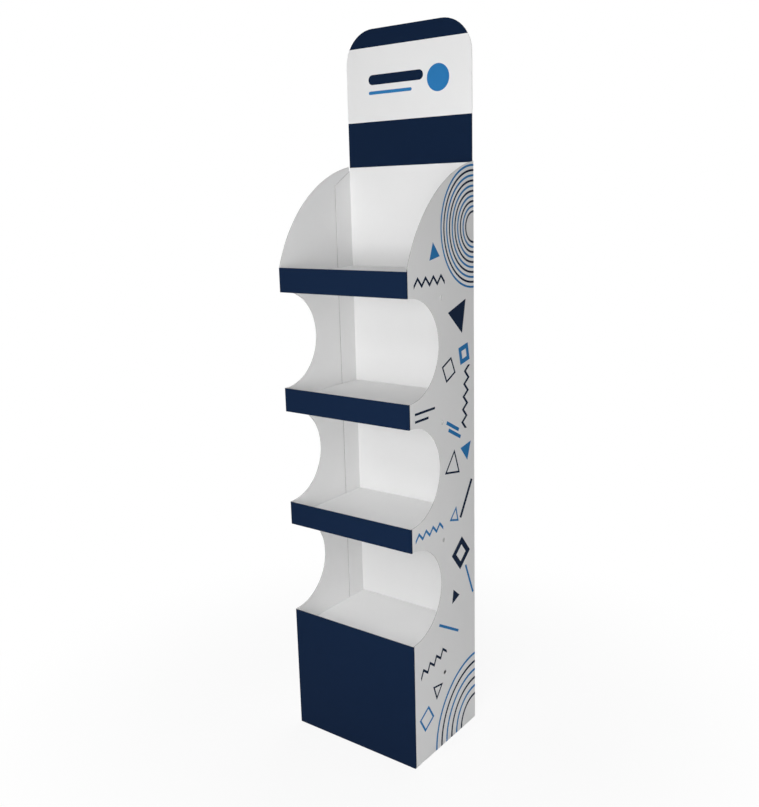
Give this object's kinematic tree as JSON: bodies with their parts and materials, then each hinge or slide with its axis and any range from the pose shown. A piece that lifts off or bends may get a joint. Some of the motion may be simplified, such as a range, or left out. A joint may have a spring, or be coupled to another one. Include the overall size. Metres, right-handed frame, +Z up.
{
  "type": "cardboard display stand",
  "caption": "Tall floor display stand of folded board with open shelves behind low lips, scalloped sides, a boxed base and a round-cornered header.",
  "frame": {"origin": "middle of the footprint, on the floor", "axes": "+Z up, +X to the right seen from the front, front towards -Y"},
  "size_m": [0.38, 0.289, 1.802],
  "materials": {
    "printed_board": "matt printed white board, navy on the front",
    "back_board": "matt printed white board, navy bands on the header",
    "shelf_board": "matt white board"
  },
  "bodies": {
    "root": {"body_wrap": "printed_board", "back_panel": "back_board", "shelf_top": "shelf_board", "shelf_middle": "shelf_board", "shelf_lower": "shelf_board", "base_deck": "shelf_board"}
  },
  "joints": []
}
